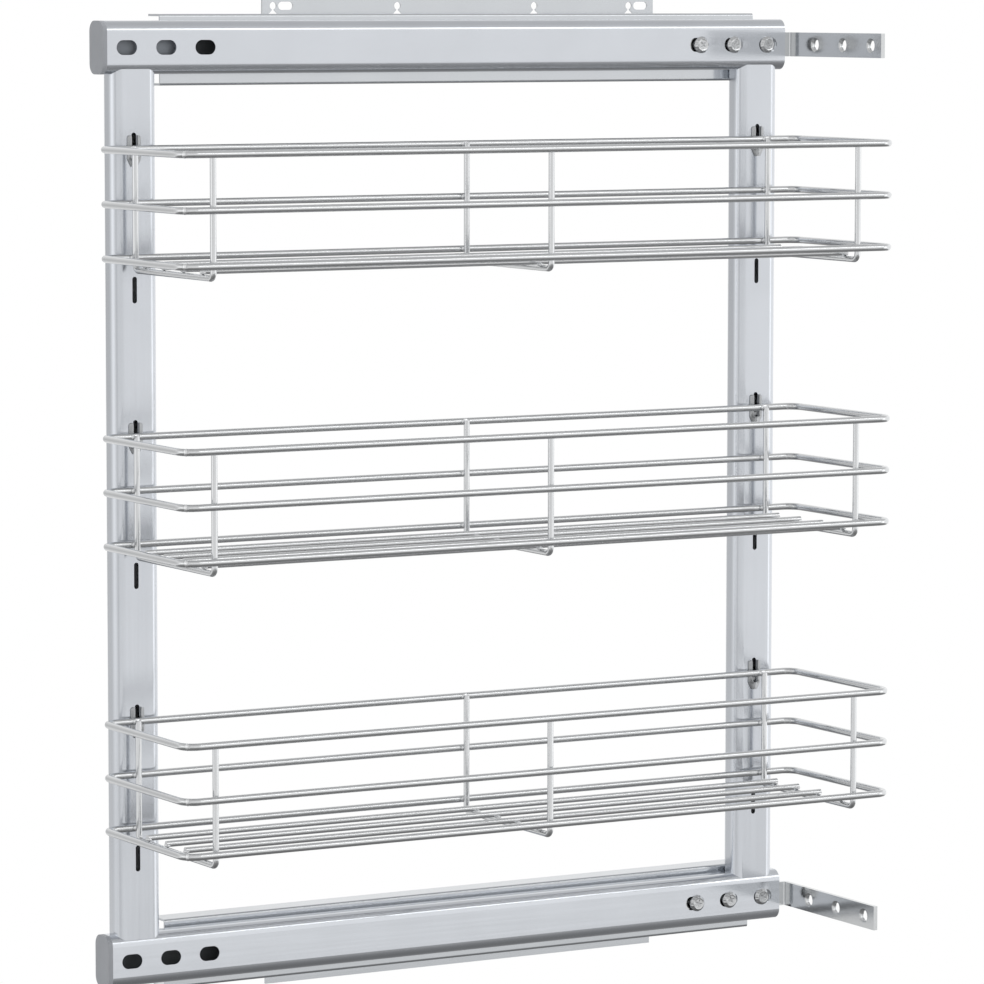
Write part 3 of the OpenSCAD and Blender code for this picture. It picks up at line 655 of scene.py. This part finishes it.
def make_welds(basket):
    """The nuggets where a basket's wires cross, its floor wires' pressed ends and its rings' butt welds, in a
    far lighter copy of the wire's chrome that paints glints onto them.
    """
    bm = bmesh.new()
    levels = ring_levels(basket)
    places = cross_wire_places(basket)
    seats = cross_wire_seats(basket)
    for level in levels:
        for x in places:
            for y in seats:
                add_nugget(bm, (x, y, level), CROSS_NUGGET)
    floor = f"{basket}_floor_wires"
    floor_middle = midway(floor, Y)
    floor_level = midway(floor, Z)
    rear, front = span(floor, X)
    for k in range(FLOOR_WIRES):
        y = floor_middle + FLOOR_WIRE_STEP * ((FLOOR_WIRES - 1) / 2 - k)
        add_nugget(bm, (places[1], y, floor_level - FLOOR_WIRE / 2), FLOOR_NUGGET)
        for x in (rear + FLOOR_END_INSET, front - FLOOR_END_INSET):
            add_nugget(bm, (x, y, floor_level - FLOOR_END_DROP), FLOOR_END, FLOOR_END_ROUGHNESS)
    bend_x, bend_y = [span(f"{basket}_rings", axis)[0] + RING_BEND_INSET for axis in (X, Y)]
    # Butt welds on the rings' bends, which also paint the bends' highlight.
    for level in levels:
        add_nugget(bm, (bend_x, bend_y, level), BUTT_WELD_GLINT, BUTT_WELD_GLINT_ROUGHNESS)
    finished(f"{basket}_welds", bm, basket, "chrome_wire", WELD_WITH_PAINTED_GLINTS)


# Basket clips


def ear_width(height):
    """Half of a clip's width at a height above the ring."""
    if height > EAR_SHOULDER:
        rise = height - EAR_SHOULDER
        return EAR_HALF_WIDTH - EAR_CORNER + math.sqrt(max(0.0, EAR_CORNER ** 2 - rise ** 2))
    if height < EAR_NECK:
        return EAR_HALF_WIDTH - EAR_TAPER * (EAR_NECK - height) / (EAR_NECK - EAR_TIP)
    return EAR_HALF_WIDTH


def ear_section(height, front, side):
    """Section of one ear of a clip: a rounded lip by the slit, which falls off to the post's face."""
    inner, lip = (SLIT_HALF_WIDTH, EAR_LIP) if height > EAR_NECK else (-EAR_OVERLAP, 0.0)
    outer = ear_width(height)
    back = POST_FRONT - CLIP_GAP
    points = [(outer, back)]
    for share in evenly(1.0, 0.0, EAR_STEPS + 1):
        fall = EAR_FALL * share ** 1.5 + lip * (1 - smooth(share / EAR_LIP_SHARE))
        points.append((inner + (outer - inner) * share, front + fall))
    points.append((inner, back))
    return [(side * x, y) for x, y in points]


def hook_outline(back):
    """A hook seen from the side: its nose in front of the post, its seat on the slot and its tip inside."""
    nose = POST_FRONT - HOOK_NOSE
    inside = POST_FRONT + POST_WALL + HOOK_GAP
    return [(nose, HOOK_TOP), (nose, HOOK_NOSE_FOOT), (POST_FRONT, HOOK_CHIN), (POST_FRONT, HOOK_SEAT),
            (inside, HOOK_SEAT), (inside, HOOK_TIP), (back, HOOK_TIP), (back, HOOK_TOP)]


def make_clips(basket):
    """A basket's two hook clips: a pressed shield, forked by a slit, and the hook behind the post's wall."""
    bm = bmesh.new()
    start, end = span(f"{basket}_hook_clips", X)
    front, back = span(f"{basket}_hook_clips", Y)
    level = ring_levels(basket)[0]
    for middle in (start + PLAIN_CLIP_WIDTH / 2, end - PLAIN_CLIP_WIDTH / 2):
        for side in (-1, 1):
            add_loft(bm, [[(middle + x, y, level + height) for x, y in ear_section(height, front, side)]
                          for height in EAR_HEIGHTS])
        left = middle - HOOK_WIDTH / 2
        add_plate(bm, rounded_corners(hook_outline(back), HOOK_CORNER, 2),
                  lambda y, z, depth: (left + depth, y, level + z), HOOK_WIDTH, HOOK_EDGE, 2)
    piece = finished(f"{basket}_pressed_clips", bm, basket, "clip_steel")
    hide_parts(f"{basket}_hook_clips")


# Soft edges


def soften(node, width, segments):
    """Rounds the sharp edges of a CAD node."""
    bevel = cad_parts[node].modifiers.new("soft_edges", "BEVEL")
    bevel.width = width * MM
    bevel.segments = segments
    bevel.limit_method = "ANGLE"
    bevel.angle_limit = BEVEL_ANGLE


# Studio


def seen_directly(tree):
    """1 for a ray that shows the background: straight from the camera, off metal or through glass."""
    path = tree.nodes.new("ShaderNodeLightPath")
    either = path.outputs["Is Camera Ray"]
    for kind in ("Is Glossy Ray", "Is Transmission Ray"):
        larger = tree.nodes.new("ShaderNodeMath")
        larger.operation = "MAXIMUM"
        tree.links.new(either, larger.inputs[0])
        tree.links.new(path.outputs[kind], larger.inputs[1])
        either = larger.outputs[0]
    return either


def outward(tree, near, far, low, high):
    """A value that runs from low to high with the distance from an object's middle, from near to far."""
    place = tree.nodes.new("ShaderNodeTexCoord")
    away = tree.nodes.new("ShaderNodeVectorMath")
    away.operation = "LENGTH"
    tree.links.new(place.outputs["Object"], away.inputs[0])
    return mapped(tree, away.outputs["Value"], near, far, low, high)


def blended(tree, output, share, shown_at_0, shown_at_1):
    """Sends a mix of two shaders to the output."""
    mix = tree.nodes.new("ShaderNodeMixShader")
    tree.links.new(share, mix.inputs["Fac"])
    tree.links.new(shown_at_0.outputs[0], mix.inputs[1])
    tree.links.new(shown_at_1.outputs[0], mix.inputs[2])
    tree.links.new(mix.outputs[0], output.inputs["Surface"])


def make_world():
    """Even soft light, and a white background."""
    world = bpy.data.worlds.new("studio_world")
    bpy.context.scene.world = world
    tree, output = emptied(world, "ShaderNodeOutputWorld")
    light = tree.nodes.new("ShaderNodeBackground")
    backdrop = tree.nodes.new("ShaderNodeBackground")
    for background, strength in ((light, AMBIENT), (backdrop, 1.0)):
        background.inputs["Color"].default_value = (1, 1, 1, 1)
        background.inputs["Strength"].default_value = strength
    blended(tree, output, seen_directly(tree), light, backdrop)


def make_floor():
    """A pale floor that shows the unit's shadow, and is as white as the background further out."""
    bpy.ops.mesh.primitive_circle_add(vertices=96, radius=FLOOR_RADIUS, fill_type="NGON")
    floor = bpy.context.object
    floor.name = "studio_floor"
    floor.location = (CENTRE.x, CENTRE.y, cad_low.z - FLOOR_DROP)
    floor.visible_glossy = False
    material = bpy.data.materials.new("pale_floor")
    tree, output = emptied(material, "ShaderNodeOutputMaterial")
    paper = tree.nodes.new("ShaderNodeBsdfDiffuse")
    paper.inputs["Color"].default_value = (FLOOR_TONE, FLOOR_TONE, FLOOR_TONE, 1)
    white = tree.nodes.new("ShaderNodeEmission")
    share = tree.nodes.new("ShaderNodeMath")
    share.operation = "MULTIPLY"
    tree.links.new(outward(tree, SHADOW_RADIUS, WHITE_RADIUS, 0.5, 1.0), share.inputs[0])
    tree.links.new(seen_directly(tree), share.inputs[1])
    blended(tree, output, share.outputs[0], paper, white)
    floor.data.materials.append(material)


def around(azimuth, elevation, distance):
    """A point round the unit: the azimuth runs from the cabinet side, +Y, towards the door, +X."""
    turn, rise = math.radians(azimuth), math.radians(elevation)
    way = Vector((math.sin(turn) * math.cos(rise), math.cos(turn) * math.cos(rise), math.sin(rise)))
    return CENTRE + way * distance


def softbox(name, place, size, radiance):
    """A rectangular lamp that faces the unit, and that reflections don't show."""
    lamp = bpy.data.lights.new(name, "AREA")
    lamp.shape = "RECTANGLE"
    lamp.size, lamp.size_y = size
    lamp.energy = radiance * math.pi * size[0] * size[1]
    holder = bpy.data.objects.new(name, lamp)
    bpy.context.scene.collection.objects.link(holder)
    holder.location = place
    holder.rotation_euler = (CENTRE - place).to_track_quat("-Z", "Y").to_euler()
    holder.visible_glossy = False


def card(name, place, size, middle, edge):
    """A card that faces the unit and that only reflections show. Its grey runs from the middle outwards."""
    bpy.ops.mesh.primitive_plane_add(size=2)
    sheet = bpy.context.object
    sheet.name = name
    sheet.scale = (size[0] / 2, size[1] / 2, 1)
    sheet.location = place
    sheet.rotation_euler = (CENTRE - place).to_track_quat("Z", "Y").to_euler()
    sheet.visible_camera = False
    sheet.visible_diffuse = False
    sheet.visible_shadow = False
    sheet.visible_transmission = False
    material = bpy.data.materials.new(name)
    tree, output = emptied(material, "ShaderNodeOutputMaterial")
    tone = tree.nodes.new("ShaderNodeEmission")
    tree.links.new(outward(tree, 0.0, 1.0, middle, edge), tone.inputs["Color"])
    tree.links.new(tone.outputs[0], output.inputs["Surface"])
    sheet.data.materials.append(material)


def make_lights():
    """Three softboxes for light and shadow, and the grey cards that the metal reflects."""
    softbox("overhead_softbox", around(60, 75, 2.0), (2.2, 1.6), 1.2)
    softbox("side_softbox", around(98, 4, 3.6), (4.0, 2.2), 1.15)
    softbox("key_softbox", around(144, 24, 3.6), (0.9, 1.1), 1.7)
    card("key_card", around(147, 28, 3.2), (1.5, 0.5), 2.6, 2.6)
    card("strip_card", around(125, 2, 3.1), (0.8, 2.6), 1.65, 1.55)
    card("side_card", around(84, 0, 3.3), (4.2, 3.2), 1.08, 1.12)
    card("left_card", around(272, 8, 3.0), (3.0, 2.6), 1.4, 0.9)
    card("ceiling_card", CENTRE + Vector((0, 0, 3.2)), (10, 10), 0.57, 0.78)
    card("floor_card", CENTRE - Vector((0, 0, 3.0)), (22, 22), 0.15, 0.55)
    card("front_card", around(205, 0, 3.0), (6.4, 1.5), 0.85, 0.95)
    card("front_left_card", around(235, 0, 2.7), (0.9, 3.0), 0.72, 0.78)
    card("back_card", around(335, 0, 3.0), (7.2, 3.6), 0.60, 0.95)


def make_camera():
    """The camera at the photograph's angle."""
    data = bpy.data.cameras.new("photo_camera")
    data.lens = CAMERA_LENS
    data.sensor_width = CAMERA_SENSOR
    data.clip_start, data.clip_end = 0.1, 100
    camera = bpy.data.objects.new("photo_camera", data)
    bpy.context.scene.collection.objects.link(camera)
    ahead, aside = math.cos(CAMERA_YAW), math.sin(CAMERA_YAW)
    level, fall = math.cos(CAMERA_PITCH), math.sin(CAMERA_PITCH)
    forward = Vector((aside * level, ahead * level, -fall))
    right = Vector((ahead, -aside, 0))
    up = right.cross(forward)
    side = right * math.cos(CAMERA_ROLL) + up * math.sin(CAMERA_ROLL)
    top = up * math.cos(CAMERA_ROLL) - right * math.sin(CAMERA_ROLL)
    turn = Matrix((side, top, -forward)).transposed().to_4x4()
    camera.matrix_world = Matrix.Translation(CAMERA_PLACE) @ turn
    bpy.context.scene.camera = camera


# The whole scene

dress_nodes()
make_bolts()
make_threads()
make_cap_ribs()
make_rail_linings()
make_post_linings()
for basket_name in BASKETS:
    make_welds(basket_name)
    make_clips(basket_name)
for cap_name in ("top_end_cap", "bottom_end_cap"):
    soften(cap_name, CAP_EDGE, 4)
for bracket_name in ("top_door_bracket", "bottom_door_bracket"):
    soften(bracket_name, BRACKET_EDGE, 2)
make_world()
make_floor()
make_lights()
make_camera()
bpy.context.scene.view_settings.view_transform = "Standard"
